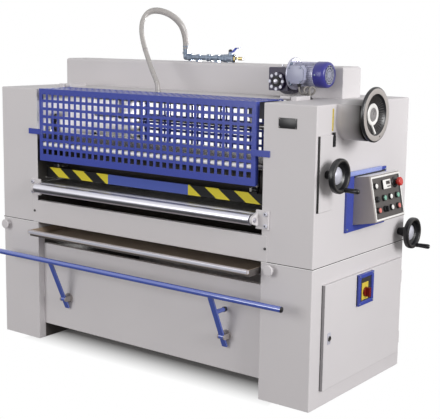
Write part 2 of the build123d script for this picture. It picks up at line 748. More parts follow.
def ball_valve():
    body = rod_x(VALVE_R, VALVE_X0, VALVE_X1, LINE_Y, LINE_Z)
    body += rod_z(VALVE_R * 0.6, LINE_Z, LINE_Z + VALVE_R + BONNET_UP, VALVE_X, LINE_Y)
    body += rod_z(STEM_R, LINE_Z, LINE_Z + STEM_UP, VALVE_X, LINE_Y)
    body += rod_x(VALVE_R * 0.75, VALVE_X1, VALVE_X1 + 12.0, LINE_Y, LINE_Z)
    body += rod_x(INLET_R, VALVE_X1, VALVE_X1 + 12.0 + INLET_L, LINE_Y, LINE_Z)
    return body - rod_x(INLET_R - 2.5, VALVE_X1 - 10.0, VALVE_X1 + 13.0 + INLET_L, LINE_Y, LINE_Z)


LEVER_Z = LINE_Z + VALVE_R + BONNET_UP + SLIDE_FIT
LEVER_W = 16.0
LEVER_T = 4.0
LEVER_L = 62.0


def valve_lever():
    flat = rod_z(LEVER_W / 2, LEVER_Z, LEVER_Z + LEVER_T, VALVE_X, LINE_Y)
    low = 16.0
    rise = 20.0
    side = [
        (VALVE_X, LEVER_Z),
        (VALVE_X + low, LEVER_Z),
        (VALVE_X + low + rise, LEVER_Z + rise),
        (VALVE_X + LEVER_L, LEVER_Z + rise),
        (VALVE_X + LEVER_L, LEVER_Z + rise + LEVER_T),
        (VALVE_X + low + rise - LEVER_T / 2, LEVER_Z + rise + LEVER_T),
        (VALVE_X + low - LEVER_T / 2, LEVER_Z + LEVER_T),
        (VALVE_X, LEVER_Z + LEVER_T),
    ]
    flat += prism_y(side, LINE_Y - LEVER_W / 2, LINE_Y + LEVER_W / 2)
    return flat - rod_z(STEM_R + RUN_FIT, LEVER_Z - OVERRUN, LEVER_Z + LEVER_T + OVERRUN, VALVE_X, LINE_Y)


clamps = [pipe_clamp(x) for x in CLAMPS_X]
save("supply_line", supply_pipe(), ball_valve(), *clamps)
save("valve_lever", valve_lever())

# Glue hose: an arch from the elbow over to the spigot in the top cover
HOSE_END_RISE = 4.0
HOSE_END_Z = COLUMN_H + HOSE_END_RISE
HOSE_POINTS = (
    (ELBOW_X, LINE_Y, HOSE_START_Z),
    (ELBOW_X, LINE_Y, HOSE_START_Z + 42.0),
    (-182.0, 124.0, 1646.0),
    (-202.0, 107.0, 1683.0),
    (-233.0, 86.0, 1713.0),
    (-269.0, 62.0, 1731.0),
    (-303.0, 39.0, 1736.0),
    (-329.0, 19.0, 1727.0),
    (-341.0, -3.0, 1702.0),
    (-338.0, -26.0, 1666.0),
    (-319.0, -50.0, 1629.0),
    (-287.0, -77.0, 1584.0),
    (-243.0, -107.0, 1534.0),
    (-201.0, -132.0, 1488.0),
    (-159.0, -154.0, 1439.0),
    (-121.0, -170.0, 1395.0),
    (SPIGOT_X, SPIGOT_Y, HOSE_END_Z + 30.0),
    (SPIGOT_X, SPIGOT_Y, HOSE_END_Z),
)


def corner_radii(points):
    """The largest arc that the two runs at each corner leave room for."""
    places = [Vector(*point) for point in points]
    radii = []
    for before, corner, after in zip(places, places[1:], places[2:]):
        turn = (corner - before).get_angle(after - corner)
        run = min((corner - before).length, (after - corner).length)
        radii.append(0.45 * run / math.tan(math.radians(turn / 2)))
    return radii


HOSE_RADII = corner_radii(HOSE_POINTS)
HOSE_PATH = FilletPolyline(*HOSE_POINTS, radius=HOSE_RADII)
print("hose length", round(HOSE_PATH.length, 1), "radii", [round(radius) for radius in HOSE_RADII])


def glue_hose():
    start = Plane(origin=HOSE_POINTS[0], z_dir=(0, 0, 1))
    ring = start * (Circle(HOSE_D / 2) - Circle(HOSE_BORE / 2))
    return sweep(ring, path=HOSE_PATH)


hose = glue_hose()
hose_section = math.pi * (HOSE_D**2 - HOSE_BORE**2) / 4
print("hose volume ratio", round(hose.volume / (hose_section * HOSE_PATH.length), 4))
save("glue_hose", hose)

# Glue manifold: a spigot through the cover and a perforated pipe over the upper nip
MANIFOLD_R = 12.5
MANIFOLD_HALF = ROLL_HALF - 50.0
OUTLET_R = 3.0
OUTLET_STEP = 100.0
SPIGOT_TURN_Z = ROOF - SPIGOT_R - SLEEVE_ROOM
STRAP_X = 420.0
STRAP_T = 4.0
STRAP_HALF = 12.0


def glue_manifold():
    body = rod_z(TAIL_R, HOSE_END_Z - OVERRUN, HOSE_END_Z + TAIL_L, SPIGOT_X, SPIGOT_Y)
    body += rod_z(HOSE_D / 2 + 2.0, COLUMN_H, HOSE_END_Z, SPIGOT_X, SPIGOT_Y)
    body += rod_z(SPIGOT_R, SPIGOT_TURN_Z, COLUMN_H + OVERRUN, SPIGOT_X, SPIGOT_Y)
    body += rod_y(SPIGOT_R, SPIGOT_Y, MANIFOLD_Y, SPIGOT_X, SPIGOT_TURN_Z)
    for y in (SPIGOT_Y, MANIFOLD_Y):
        body += Pos(SPIGOT_X, y, SPIGOT_TURN_Z) * Sphere(SPIGOT_R)
    body += rod_z(SPIGOT_R, MANIFOLD_Z, SPIGOT_TURN_Z, SPIGOT_X, MANIFOLD_Y)
    body += rod_x(MANIFOLD_R, -MANIFOLD_HALF, MANIFOLD_HALF, MANIFOLD_Y, MANIFOLD_Z)
    outlets = int(MANIFOLD_HALF / OUTLET_STEP)
    for step in range(-outlets, outlets + 1):
        body -= rod_z(OUTLET_R, MANIFOLD_Z - MANIFOLD_R - OVERRUN, MANIFOLD_Z, step * OUTLET_STEP, MANIFOLD_Y)
    return body


def manifold_strap(x):
    ends = (x - STRAP_HALF, x + STRAP_HALF)
    strap = block(*ends, MANIFOLD_Y - STRAP_T, MANIFOLD_Y + STRAP_T, MANIFOLD_Z, ROOF)
    strap += rod_x(MANIFOLD_R + STRAP_T, *ends, MANIFOLD_Y, MANIFOLD_Z)
    return strap - rod_x(MANIFOLD_R + RUN_FIT, x - 2 * STRAP_HALF, x + 2 * STRAP_HALF, MANIFOLD_Y, MANIFOLD_Z)


save("glue_manifold", glue_manifold(), manifold_strap(-STRAP_X), manifold_strap(STRAP_X))

# Idle rollers at the infeed and the outfeed, in brackets bolted to the columns
IDLE_Z = PASS_Z - IDLE_ROLL_D / 2
IDLE_OUT = 39.0
IDLE_Y = FRONT - IDLE_OUT
BRACKET_IN = INNER - 26.0
BRACKET_T = 12.0
BRACKET_PLATE_T = 10.0
BRACKET_X1 = INNER + 39.0
BRACKET_H = 84.0
BRACKET_EYE_R = 20.0
ARM_INSET = 8.0
IDLE_SIDE_GAP = 5.0
IDLE_HALF = BRACKET_IN - IDLE_SIDE_GAP
IDLE_TUBE_WALL = 4.0


def roller_bracket():
    low = IDLE_Z - BRACKET_H / 2
    high = IDLE_Z + BRACKET_H / 2
    plate = block(BRACKET_IN, BRACKET_X1, FRONT - BRACKET_PLATE_T, FRONT, low, high)
    arm = [
        (FRONT - OVERRUN, high - ARM_INSET),
        (FRONT - OVERRUN, low + ARM_INSET),
        (IDLE_Y, IDLE_Z - BRACKET_EYE_R),
        (IDLE_Y, IDLE_Z + BRACKET_EYE_R),
    ]
    plate += prism_x(arm, BRACKET_IN, BRACKET_IN + BRACKET_T)
    plate += rod_x(BRACKET_EYE_R, BRACKET_IN, BRACKET_IN + BRACKET_T, IDLE_Y, IDLE_Z)
    bore = IDLE_AXLE_D / 2 + RUN_FIT
    return plate - rod_x(bore, BRACKET_IN - OVERRUN, BRACKET_IN + BRACKET_T + OVERRUN, IDLE_Y, IDLE_Z)


def idle_roller():
    core = rod_x(IDLE_ROLL_D / 2, -IDLE_HALF, IDLE_HALF, IDLE_Y, IDLE_Z)
    bore_r = IDLE_ROLL_D / 2 - IDLE_TUBE_WALL
    core -= rod_x(bore_r, -IDLE_HALF + ROLL_DISC, IDLE_HALF - ROLL_DISC, IDLE_Y, IDLE_Z)
    axle_end = BRACKET_IN + BRACKET_T + IDLE_SIDE_GAP
    for side in (-1, 1):
        core += rod_x(IDLE_AXLE_D / 2, side * IDLE_HALF, side * axle_end, IDLE_Y, IDLE_Z)
    return core - rod_x(JOURNAL_BORE / 2, 0, axle_end + OVERRUN, IDLE_Y, IDLE_Z)


bracket = roller_bracket()
save("roller_brackets", bracket, left_of(bracket), behind(bracket), behind(left_of(bracket)))
save("infeed_roller", idle_roller())
save("outfeed_roller", behind(idle_roller()))

# Glue and doctor rollers: steel tubes on journals, geared together at the right-hand end
DOCTOR_TEETH = round(DOCTOR_ROLL_D / GEAR_MODULE)
DRIVE_X0 = SLIDE_OUT
LOWER_DRIVE_X0 = PLATE_OUT + SLIDE_T
GLUE_LEFT = DRIVE_X0 + DRIVE_LENGTH - 5.0
DOCTOR_LEFT = SLIDE_OUT + SIDE_GAP


def roller_core(radius, journal_r, left_end, y, z):
    core = rod_x(radius, -ROLL_HALF, ROLL_HALF, y, z)
    core -= rod_x(radius - ROLL_WALL, -ROLL_HALF + ROLL_DISC, ROLL_HALF - ROLL_DISC, y, z)
    core += rod_x(journal_r, ROLL_HALF, GEAR_OUT, y, z)
    core += rod_x(journal_r, -left_end, -ROLL_HALF, y, z)
    return core - rod_x(JOURNAL_BORE, 0, GEAR_OUT + OVERRUN, y, z)


def rubber_cover(z):
    cover = rod_x(GLUE_R, -ROLL_HALF, ROLL_HALF, 0, z)
    return cover - rod_x(GLUE_R - COVER_T + RUN_FIT, -ROLL_HALF - OVERRUN, ROLL_HALF + OVERRUN, 0, z)


def roller_gear(teeth, journal_r, y, z, first_tooth):
    gear = spur_gear(teeth, GEAR_MODULE, GEAR_T, journal_r + RUN_FIT, first_tooth)
    return gear_on_x(gear, GEAR_IN, y, z)


def glue_roller(name, z, toward):
    """toward is the angle from this roller to its doctor roller, 0 for +Y."""
    journal_r = GLUE_JOURNAL_D / 2
    core = roller_core(GLUE_R - COVER_T, journal_r, GLUE_LEFT, 0, z)
    save(name, core, rubber_cover(z), roller_gear(GLUE_TEETH, journal_r, 0, z, toward))


def doctor_roller(name, y, z, toward):
    """The tooth gap of this gear faces the glue roller."""
    journal_r = DOCTOR_JOURNAL_D / 2
    core = roller_core(DOCTOR_R, journal_r, DOCTOR_LEFT, y, z)
    gap = toward + 180 / DOCTOR_TEETH
    save(name, core, roller_gear(DOCTOR_TEETH, journal_r, y, z, gap))


glue_roller("upper_glue_roller", UPPER_Z, 180)
glue_roller("lower_glue_roller", LOWER_Z, 0)
doctor_roller("upper_doctor_roller", -DOCTOR_Y, UPPER_Z, 0)
doctor_roller("lower_doctor_roller", DOCTOR_Y, LOWER_Z, 180)

# Bearing units of the lower glue roller, on the outside of the frame plates
UNIT_HALF = 45.0
UNIT_CORNER_R = 12.0


def bearing_unit():
    height = (LOWER_Z - UNIT_HALF, LOWER_Z + UNIT_HALF)
    unit = block(PLATE_OUT, PLATE_OUT + SLIDE_T, -UNIT_HALF, UNIT_HALF, *height)
    unit = fillet(unit.edges().filter_by(Axis.X), UNIT_CORNER_R)
    bore = GLUE_JOURNAL_D / 2 + RUN_FIT
    return unit - rod_x(bore, PLATE_OUT - OVERRUN, PLATE_OUT + SLIDE_T + OVERRUN, 0, LOWER_Z)


save("roller_bearings", bearing_unit(), left_of(bearing_unit()))

# Shaft-mounted gearmotors in the left housing, one for each glue roller


def drive_motor(x0, z, side):
    """A gearbox round the left journal; its motor points along side times Y."""
    x1 = DRIVE_X0 + DRIVE_LENGTH
    half = DRIVE_BOX / 2
    body = block(-x1, -x0, -half, half, z - half, z + half)
    middle = -x1 + DRIVE_MOTOR_D / 2
    body += rod_y(DRIVE_MOTOR_D / 2, side * half, side * (half + DRIVE_MOTOR_L), middle, z)
    bore = GLUE_JOURNAL_D / 2 + RUN_FIT
    return body - rod_x(bore, -x1 - OVERRUN, -x0 + OVERRUN, 0, z)


save("lower_drive_motor", drive_motor(LOWER_DRIVE_X0, LOWER_Z, -1))
save("upper_drive_motor", drive_motor(DRIVE_X0, UPPER_Z, 1))

# Lift slides: plates that carry the upper rollers between the gibs
LUG_HALF = 35.0
LUG_OUT = SCREW_X + LIFT_SCREW_D / 2 + 15.0
LUG_Z0 = SLIDE_Z1 - 40.0
ROD_IN = 15.0
WINDOW_Y0 = -DOCTOR_Y - BLOCK_HALF - DOSE_TRAVEL - SIDE_GAP
WINDOW_Y1 = -DOCTOR_Y + BLOCK_HALF + SIDE_GAP


def lift_slide():
    plate = block(SLIDE_IN, SLIDE_OUT, SLIDE_Y0, SLIDE_Y1, SLIDE_Z0, SLIDE_Z1)
    plate += block(SLIDE_IN, LUG_OUT, LIFT_Y - LUG_HALF, LIFT_Y + LUG_HALF, LUG_Z0, SLIDE_Z1)
    through = (SLIDE_IN - OVERRUN, SLIDE_OUT + OVERRUN)
    half = BLOCK_HALF + SLIDE_FIT
    plate -= block(*through, WINDOW_Y0, WINDOW_Y1, UPPER_Z - half, UPPER_Z + half)
    plate -= rod_x(GLUE_JOURNAL_D / 2 + RUN_FIT, *through, 0, UPPER_Z)
    plate -= rod_x(DOSE_SHAFT_D / 2 + RUN_FIT, *through, UPPER_DOSE_Y, UPPER_DOSE_Z)
    plate -= rod_y(DOSE_ROD_D / 2 + RUN_FIT, SLIDE_Y0 + ROD_IN, WINDOW_Y0 + OVERRUN, ROD_X, UPPER_Z)
    return plate - rod_z(LIFT_SCREW_D / 2 + RUN_FIT, LUG_Z0 - OVERRUN, SLIDE_Z1 + OVERRUN, SCREW_X, LIFT_Y)


save("lift_slides", lift_slide(), left_of(lift_slide()))

# Cross beam of the carriage, with the hangers of the safety bar
HANGER_X = INNER - 106.0
HANGER_W = 12.0
HANGER_D = 16.0
SAFETY_Z0 = PASS_Z + SAFETY_CLEAR
SAFETY_Z1 = SAFETY_Z0 + SAFETY_H
SAFETY_AXIS_Z = SAFETY_Z1 + SAFETY_HINGE_UP
SAFETY_PIN_R = 5.0
SAFETY_LUG_W = 26.0
SAFETY_LUG_R = 10.0


def carriage_beam():
    return block(-SLIDE_IN, SLIDE_IN, CROSS_Y0, CROSS_Y1, CROSS_Z0, CROSS_Z1)


def hanger():
    low = SAFETY_AXIS_Z - HANGER_D / 2
    ends = (HANGER_X, HANGER_X + HANGER_W)
    bar = block(*ends, CROSS_Y0, CROSS_Y0 + HANGER_D, low, CROSS_Z0)
    bar += block(*ends, SAFETY_Y - HANGER_D / 2, CROSS_Y0 + HANGER_D, low, low + HANGER_D)
    pin_end = HANGER_X + HANGER_W + SAFETY_LUG_W + 2.0
    return bar + rod_x(SAFETY_PIN_R, HANGER_X, pin_end, SAFETY_Y, SAFETY_AXIS_Z)


def safety_bar():
    half = INNER - SAFETY_END_ROOM
    y0 = SAFETY_Y - SAFETY_T / 2
    y1 = SAFETY_Y + SAFETY_T / 2
    bar = block(-half, half, y0, y1, SAFETY_Z0, SAFETY_Z1)
    x0 = HANGER_X + HANGER_W + SLIDE_FIT
    x1 = x0 + SAFETY_LUG_W
    for ends in ((x0, x1), (-x1, -x0)):
        bar += block(*ends, y0, y1, SAFETY_Z1 - OVERRUN, SAFETY_AXIS_Z)
        bar += rod_x(SAFETY_LUG_R, *ends, SAFETY_Y, SAFETY_AXIS_Z)
        bar -= rod_x(SAFETY_PIN_R + RUN_FIT, ends[0] - OVERRUN, ends[1] + OVERRUN, SAFETY_Y, SAFETY_AXIS_Z)
    return bar


save("carriage_beam", carriage_beam(), hanger(), left_of(hanger()))
save("safety_bar", safety_bar())

# Sliding cover over the slot in the right housing, on a sleeve from the lift slide
SLOT_COVER_GAP = 1.0
SLOT_COVER_T = 8.0
SLOT_COVER_HALF = 58.0
SLOT_COVER_Z0 = UPPER_DOSE_Z - 159.0
SLOT_COVER_Z1 = UPPER_DOSE_Z + 166.0
SLOT_COVER_X0 = HALF_W + SLOT_COVER_GAP
SLOT_COVER_X1 = SLOT_COVER_X0 + SLOT_COVER_T


def slot_cover():
    y0 = UPPER_DOSE_Y - SLOT_COVER_HALF
    y1 = UPPER_DOSE_Y + SLOT_COVER_HALF
    plate = block(SLOT_COVER_X0, SLOT_COVER_X1, y0, y1, SLOT_COVER_Z0, SLOT_COVER_Z1)
    plate = fillet(plate.edges().filter_by(Axis.X), BEND_R)
    plate = fillet(plate.faces().sort_by(Axis.X)[-1].edges(), EDGE_R)
    sleeve = rod_x(SLEEVE_R, SLIDE_OUT, SLOT_COVER_X0 + OVERRUN, UPPER_DOSE_Y, UPPER_DOSE_Z)
    bore = DOSE_SHAFT_D / 2 + SLIDE_FIT
    through = (SLIDE_OUT - OVERRUN, SLOT_COVER_X1 + OVERRUN)
    return plate + sleeve - rod_x(bore, *through, UPPER_DOSE_Y, UPPER_DOSE_Z)


save("slot_cover", slot_cover())

# Bearing blocks of the doctor rollers, each moved by a threaded dosing rod


def doctor_block(y, z, outward, rod_end):
    """outward is the direction of the dosing rod along Y, which ends at rod_end."""
    body = block(SLIDE_IN, SLIDE_OUT, y - BLOCK_HALF, y + BLOCK_HALF, z - BLOCK_HALF, z + BLOCK_HALF)
    body += rod_y(DOSE_ROD_D / 2, y + outward * (BLOCK_HALF - OVERRUN), rod_end, ROD_X, z)
    bore = DOCTOR_JOURNAL_D / 2 + RUN_FIT
    return body - rod_x(bore, SLIDE_IN - OVERRUN, SLIDE_OUT + OVERRUN, y, z)


upper_block = doctor_block(-DOCTOR_Y, UPPER_Z, -1, SLIDE_Y0 + ROD_IN + DOSE_TRAVEL + OVERRUN)
lower_block = doctor_block(DOCTOR_Y, LOWER_Z, 1, JACK_Y1 - ROD_END - DOSE_TRAVEL - OVERRUN)
save("upper_doctor_blocks", upper_block, left_of(upper_block))
save("lower_doctor_blocks", lower_block, left_of(lower_block))

# Lift drive: angle boxes, screws, and the geared shaft from the lift gearbox
BOX_HALF = ANGLE_BOX / 2
BOX_CORNER_R = 10.0
SHAFT_HANGER_HALF = 30.0
BOX_Z0 = ROOF - 87.0
SCREW_END_GAP = 6.0
SCREW_TOP = LIFT_SHAFT_Z - LIFT_SHAFT_D / 2 - SCREW_END_GAP
SCREW_BOTTOM = LUG_Z0 - 20.0
DRIVE_SHAFT_Y0 = LIFT_Y + LIFT_SHAFT_D / 2 + SCREW_END_GAP
HANGER_Y0 = BEAM_Y0 + 6.0
HANGER_Y1 = BEAM_Y0 + 24.0
GEAR_Y1 = GEAR_Y0 + LIFT_GEAR_T


def angle_box(x):
    box = block(x - BOX_HALF, x + BOX_HALF, LIFT_Y - BOX_HALF, LIFT_Y + BOX_HALF, BOX_Z0, ROOF)
    box = fillet(box.edges().filter_by(Axis.Z), BOX_CORNER_R)
    return box - rod_x(LIFT_SHAFT_D / 2 + RUN_FIT, x - ANGLE_BOX, x + ANGLE_BOX, LIFT_Y, LIFT_SHAFT_Z)


def screw_box(x):
    return angle_box(x) - rod_z(LIFT_SCREW_D / 2 + RUN_FIT, BOX_Z0 - OVERRUN, SCREW_TOP + OVERRUN, x, LIFT_Y)


def drive_box():
    bore = LIFT_SHAFT_D / 2 + RUN_FIT
    mouth = LIFT_Y + BOX_HALF + OVERRUN
    return angle_box(LIFT_MOTOR_X) - rod_y(bore, DRIVE_SHAFT_Y0 - OVERRUN, mouth, LIFT_MOTOR_X, LIFT_SHAFT_Z)


def shaft_hanger():
    x0 = LIFT_MOTOR_X - SHAFT_HANGER_HALF
    x1 = LIFT_MOTOR_X + SHAFT_HANGER_HALF
    plate = block(x0, x1, HANGER_Y0, HANGER_Y1, LIFT_SHAFT_Z - SHAFT_HANGER_HALF, ROOF)
    bore = LIFT_SHAFT_D / 2 + RUN_FIT
    return plate - rod_y(bore, HANGER_Y0 - OVERRUN, HANGER_Y1 + OVERRUN, LIFT_MOTOR_X, LIFT_SHAFT_Z)


def lift_screw():
    return rod_z(LIFT_SCREW_D / 2, SCREW_BOTTOM, SCREW_TOP, SCREW_X, LIFT_Y)


def lift_gear(z, first_tooth):
    bore = LIFT_SHAFT_D / 2 + RUN_FIT
    gear = spur_gear(LIFT_GEAR_TEETH, LIFT_GEAR_MODULE, LIFT_GEAR_T, bore, first_tooth)
    return gear_on_y(gear, LIFT_MOTOR_X, GEAR_Y0, z)


motor_stub = rod_y(LIFT_SHAFT_D / 2, GEARBOX_Y0 + OVERRUN, GEAR_Y1, LIFT_MOTOR_X, LIFT_MOTOR_Z)
drive_shaft = rod_y(LIFT_SHAFT_D / 2, DRIVE_SHAFT_Y0, GEAR_Y1, LIFT_MOTOR_X, LIFT_SHAFT_Z)
save("lift_angle_boxes", screw_box(SCREW_X), screw_box(-SCREW_X), drive_box(), shaft_hanger())
save("right_lift_screw", lift_screw())
save("left_lift_screw", left_of(lift_screw()))
save("lift_motor_gear", motor_stub, lift_gear(LIFT_MOTOR_Z, 90))
save("lift_drive_shaft", drive_shaft, lift_gear(LIFT_SHAFT_Z, 270 + 180 / LIFT_GEAR_TEETH))

# Lift handwheel on the long cross shaft, in front of its round-bottomed housing
WHEEL_HOUSING_HALF = 88.0
WHEEL_HOUSING_DROP = 27.0
WHEEL_HOUSING_L = 115.0
BIG_R = BIG_WHEEL_D / 2
BIG_X1 = HALF_W + BIG_WHEEL_REACH
BIG_HUB_X1 = BIG_X1 - 20.0
CROSS_LEFT = SCREW_X + BOX_HALF - 10.0


def handwheel_housing():
    low = LIFT_SHAFT_Z - WHEEL_HOUSING_DROP
    x1 = HALF_W + WHEEL_HOUSING_L
    y0 = LIFT_Y - WHEEL_HOUSING_HALF
    y1 = LIFT_Y + WHEEL_HOUSING_HALF
    body = block(HALF_W, x1, y0, y1, low, COLUMN_H)
    body += rod_x(WHEEL_HOUSING_HALF, HALF_W, x1, LIFT_Y, low)
    body = fillet(body.faces().sort_by(Axis.X)[-1].edges(), BEND_R)
    inner = block(HALF_W - OVERRUN, x1 - SHEET, y0 + SHEET, y1 - SHEET, low, COLUMN_H - SHEET)
    inner += rod_x(WHEEL_HOUSING_HALF - SHEET, HALF_W - OVERRUN, x1 - SHEET, LIFT_Y, low)
    return body - inner - rod_x(LIFT_SHAFT_D / 2 + SHAFT_ROOM, HALF_W, x1 + OVERRUN, LIFT_Y, LIFT_SHAFT_Z)


def big_wheel():
    bore = LIFT_SHAFT_D / 2 + RUN_FIT
    rim_x0 = BIG_X1 - 17.0
    profile = (
        (BIG_X1 - 27.0, bore),
        (BIG_X1 - 27.0, 30.0),
        (rim_x0, BIG_R - 24.0),
        (rim_x0, BIG_R - 6.0),
        (rim_x0 + 6.0, BIG_R),
        (BIG_X1 - 6.0, BIG_R),
        (BIG_X1, BIG_R - 6.0),
        (BIG_X1, BIG_R - 30.0),
        (BIG_X1 - 6.0, BIG_R - 33.0),
        (BIG_HUB_X1 - 3.0, 50.0),
        (BIG_HUB_X1, 49.0),
        (BIG_HUB_X1, bore),
    )
    return turned(profile, LIFT_Y, LIFT_SHAFT_Z)


def wheel_dial():
    x0 = BIG_HUB_X1
    dial = rod_x(30.0, x0, x0 + 6.0, LIFT_Y, LIFT_SHAFT_Z)
    return chamfer(dial.edges().group_by(Axis.X)[-1], 2.0)


cross_shaft = rod_x(LIFT_SHAFT_D / 2, -CROSS_LEFT, BIG_HUB_X1, LIFT_Y, LIFT_SHAFT_Z)
save("handwheel_housing", handwheel_housing())
save("lift_handwheel", cross_shaft, big_wheel(), wheel_dial())

# Dosing handwheels: dished wheels with a turning grip, each on its own cross shaft
SMALL_R = SMALL_WHEEL_D / 2
SMALL_X1 = HALF_W + SMALL_WHEEL_REACH
RIM_W = 18.0
RIM_L = 27.0
RIM_EDGE = 5.0
SMALL_HUB_X1 = SMALL_X1 - 7.0


def small_wheel(x0, y, z):
    bore = DOSE_SHAFT_D / 2 + RUN_FIT
    rim_x0 = SMALL_X1 - RIM_L
    profile = (
        (x0, bore),
        (x0, 18.0),
        (x0 + 22.0, 21.0),
        (rim_x0, SMALL_R - RIM_EDGE),
        (rim_x0 + RIM_EDGE, SMALL_R),
        (SMALL_X1 - RIM_EDGE, SMALL_R),
        (SMALL_X1, SMALL_R - RIM_EDGE),
        (SMALL_X1, SMALL_R - RIM_W + RIM_EDGE),
        (SMALL_X1 - RIM_EDGE, SMALL_R - RIM_W),
        (SMALL_X1 - 24.0, SMALL_R - RIM_W),
        (SMALL_X1 - 40.0, 24.0),
        (SMALL_HUB_X1, 20.0),
        (SMALL_HUB_X1, bore),
    )
    return turned(profile, y, z)


def wheel_grip(y, z, angle):
    """A grip on the rim, at an angle counted from +Y to +Z."""
    x0 = SMALL_X1 - RIM_EDGE
    reach = SMALL_R - RIM_W / 2
    offset_y = y + reach * math.cos(math.radians(angle))
    offset_z = z + reach * math.sin(math.radians(angle))
    thin = GRIP_D / 2 - 2.0
    profile = (
        (x0, 0),
        (x0, 5.0),
        (x0 + 8.0, 5.0),
        (x0 + 8.0, thin),
        (x0 + 20.0, thin + 1.0),
        (x0 + GRIP_L - 7.0, GRIP_D / 2),
        (x0 + GRIP_L, GRIP_D / 2 - 4.0),
        (x0 + GRIP_L, 0),
    )
    return turned(profile, offset_y, offset_z)


def dosing_handwheel(name, x0, y, z, left_end, grip_angle):
    shaft = rod_x(DOSE_SHAFT_D / 2, -left_end, SMALL_HUB_X1, y, z)
    wheel = small_wheel(x0, y, z) + wheel_grip(y, z, grip_angle)
    save(name, shaft, wheel)


UPPER_HUB_X = SLOT_COVER_X1 + SLIDE_FIT
LOWER_HUB_X = HALF_W + SLIDE_FIT
SHAFT_END = 5.0
GRIP_ANGLE = -68
UPPER_LEFT = SLIDE_OUT + SHAFT_END
LOWER_LEFT = JACK_OUT + SHAFT_END
dosing_handwheel("upper_dosing_handwheel", UPPER_HUB_X, UPPER_DOSE_Y, UPPER_DOSE_Z, UPPER_LEFT, GRIP_ANGLE)
dosing_handwheel("lower_dosing_handwheel", LOWER_HUB_X, LOWER_DOSE_Y, LOWER_DOSE_Z, LOWER_LEFT, GRIP_ANGLE)

# Guards: perforated sheets that swing up on pins at their rear edges
GUARD_FRONT_GAP = 0.3
BRACKET_GAP = 4.0
BRACKET_W = 36.0
BRACKET_LAP = 16.0
BRACKET_CORNER_R = 6.0
GUARD_Z1 = COLUMN_H + 2.0
HINGE_Z = COLUMN_H + HINGE_RISE
KNUCKLE_R = 8.0
KNUCKLE_LAP = 15.0
KNUCKLE_X = INNER - 3.0
TAB_W = 28.0
TAB_T = 6.0
TAB_Z = 1110.0
TAB_LAP = 20.0
TAB_REACH = 76.0
TOP_MARGIN = 9.0
GUARD_W = GUARD_X1 - GUARD_X0
GUARD_MID = (GUARD_X0 + GUARD_X1) / 2


def hole_grid(rows):
    columns = int((GUARD_W - GUARD_PITCH) / GUARD_PITCH) + 1
    return GridLocations(GUARD_PITCH, GUARD_PITCH, columns, rows) * Rectangle(GUARD_HOLE, GUARD_HOLE)


def guard_front():
    y0 = FRONT - GUARD_FRONT_GAP
    height = GUARD_Z1 - SHEET - GUARD_Z0
    rows = int((height - GUARD_MARGIN - GUARD_TOP_MARGIN) / GUARD_PITCH) + 1
    middle = GUARD_Z0 + GUARD_MARGIN + (rows - 1) * GUARD_PITCH / 2
    sheet_z = GUARD_Z0 + height / 2
    outline = Pos(0, sheet_z - middle) * Rectangle(GUARD_W, height)
    grille = Sketch() + outline - hole_grid(rows)
    face = Plane(origin=(GUARD_MID, y0, middle), x_dir=(1, 0, 0), z_dir=(0, -1, 0)).location
    panel = face * extrude(grille, -SHEET)
    top = GUARD_Z1 - SHEET
    for x0 in (GUARD_X0, GUARD_X1 - SHEET):
        panel += block(x0, x0 + SHEET, y0, FRONT + GUARD_RETURN, GUARD_Z0, top)
    for x0, x1 in ((GUARD_X0 - TAB_REACH, GUARD_X0 + TAB_LAP), (GUARD_X1 - TAB_LAP, GUARD_X1 + TAB_REACH)):
        panel += block(x0, x1, y0 - TAB_T, y0, TAB_Z - TAB_W / 2, TAB_Z + TAB_W / 2)
    return panel


def guard_top(hinge_out):
    """The top sheet of a guard at the front; hinge_out is the hinge's distance behind the front."""
    y0 = FRONT - GUARD_FRONT_GAP
    depth = hinge_out + TOP_MARGIN / 3
    rows = int((hinge_out - TOP_MARGIN) / GUARD_PITCH)
    outline = Rectangle(GUARD_W, depth)
    grille = Sketch() + outline - hole_grid(rows)
    sheet = Pos(GUARD_MID, y0 + depth / 2, GUARD_Z1 - SHEET) * extrude(grille, SHEET)
    hinge_y = FRONT + hinge_out
    for x0, x1 in ((-KNUCKLE_X, GUARD_X0 + KNUCKLE_LAP), (GUARD_X1 - KNUCKLE_LAP, KNUCKLE_X)):
        sheet += rod_x(KNUCKLE_R, x0, x1, hinge_y, HINGE_Z)
        sheet -= rod_x(HINGE_PIN_D / 2 + RUN_FIT, x0 - OVERRUN, x1 + OVERRUN, hinge_y, HINGE_Z)
    return sheet


def hinge_bracket(hinge_y, far_y, pin_x0):
    """A block on the column top with the hinge pin from pin_x0; far_y is its other end."""
    x0 = INNER + BRACKET_GAP
    x1 = x0 + BRACKET_W
    near = hinge_y - math.copysign(BRACKET_LAP, far_y - hinge_y)
    bracket_block = block(x0, x1, near, far_y, COLUMN_H, HINGE_Z + 9.0)
    bracket_block = fillet(bracket_block.edges().filter_by(Axis.Z), BRACKET_CORNER_R)
    return bracket_block + rod_x(HINGE_PIN_D / 2, pin_x0, x0 + 5.0, hinge_y, HINGE_Z)


